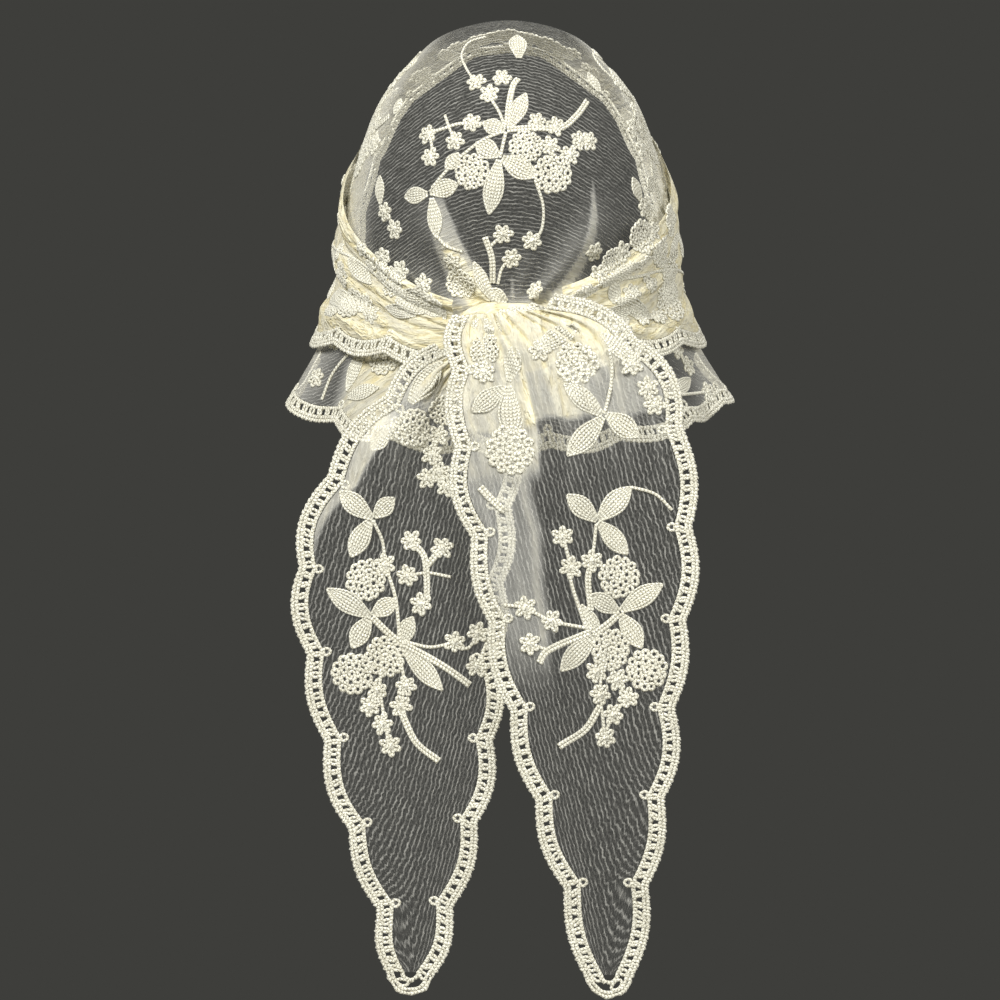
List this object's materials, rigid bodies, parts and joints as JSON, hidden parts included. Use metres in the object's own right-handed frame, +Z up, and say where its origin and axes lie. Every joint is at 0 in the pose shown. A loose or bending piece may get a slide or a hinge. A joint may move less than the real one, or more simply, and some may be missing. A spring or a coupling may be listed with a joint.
{
  "type": "lace headscarf",
  "caption": "Sheer three-cornered headscarf worn as a hood, tied at the nape with two hanging tails, embroidered sprays and a scalloped ladder edging.",
  "frame": {"origin": "the point inside the crown where the top of the head touches it", "axes": "+Z up, +Y the way the wearer looks, +X to the wearer's right"},
  "size_m": [0.2475, 0.1688, 0.5275],
  "materials": {
    "net": "sheer crinkled ivory net",
    "edging": "matt ivory chain-stitch lace"
  },
  "bodies": {
    "root": {"hood_net": "net", "brow_lace": "edging", "nape_lace": "edging", "left_tie_net": "net", "left_tie_lace": "edging", "right_tie_net": "net", "right_tie_lace": "edging", "knot": "net", "left_tail_net": "net", "left_tail_lace": "edging", "right_tail_net": "net", "right_tail_lace": "edging"}
  },
  "joints": []
}
